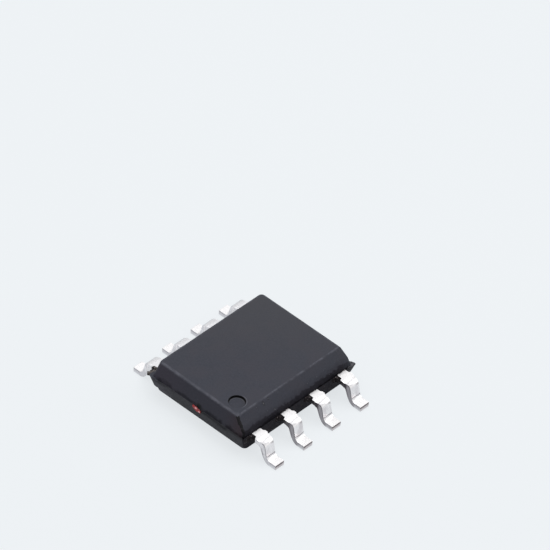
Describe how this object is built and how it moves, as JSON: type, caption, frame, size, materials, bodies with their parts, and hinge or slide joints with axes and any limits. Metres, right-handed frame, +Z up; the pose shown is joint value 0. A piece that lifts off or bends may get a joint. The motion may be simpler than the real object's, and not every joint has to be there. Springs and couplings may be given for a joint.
{
  "type": "power transistor in a small-outline package",
  "caption": "Surface-mount power transistor: black moulded body with a bevelled side, gull-wing leads in two rows, and the die, its pad and its bonds inside.",
  "frame": {"origin": "centre of the body in plan, on the plane that the soles of the feet stand on", "axes": "+Z up through the body; +X along the body, from leads 1 and 8 to leads 4 and 5; +Y across the leads, from the row of leads 1 to 4 to the row of leads 5 to 8"},
  "size_m": [0.005, 0.006, 0.0014],
  "materials": {
    "epoxy": "fine matt moulded surface",
    "tinned_copper": "matt tin plating, bare copper where it was sheared",
    "solder": "satin",
    "silicon": "polished, with metal pads",
    "bond_aluminium": "bright drawn ribbon and wire"
  },
  "bodies": {
    "root": {"mould_body": "epoxy", "drain_frame": "tinned_copper", "source_frame": "tinned_copper", "gate_lead": "tinned_copper", "die_solder": "solder", "transistor_die": "silicon", "source_ribbon_1": "bond_aluminium", "source_ribbon_2": "bond_aluminium", "gate_wire": "bond_aluminium"}
  },
  "joints": []
}
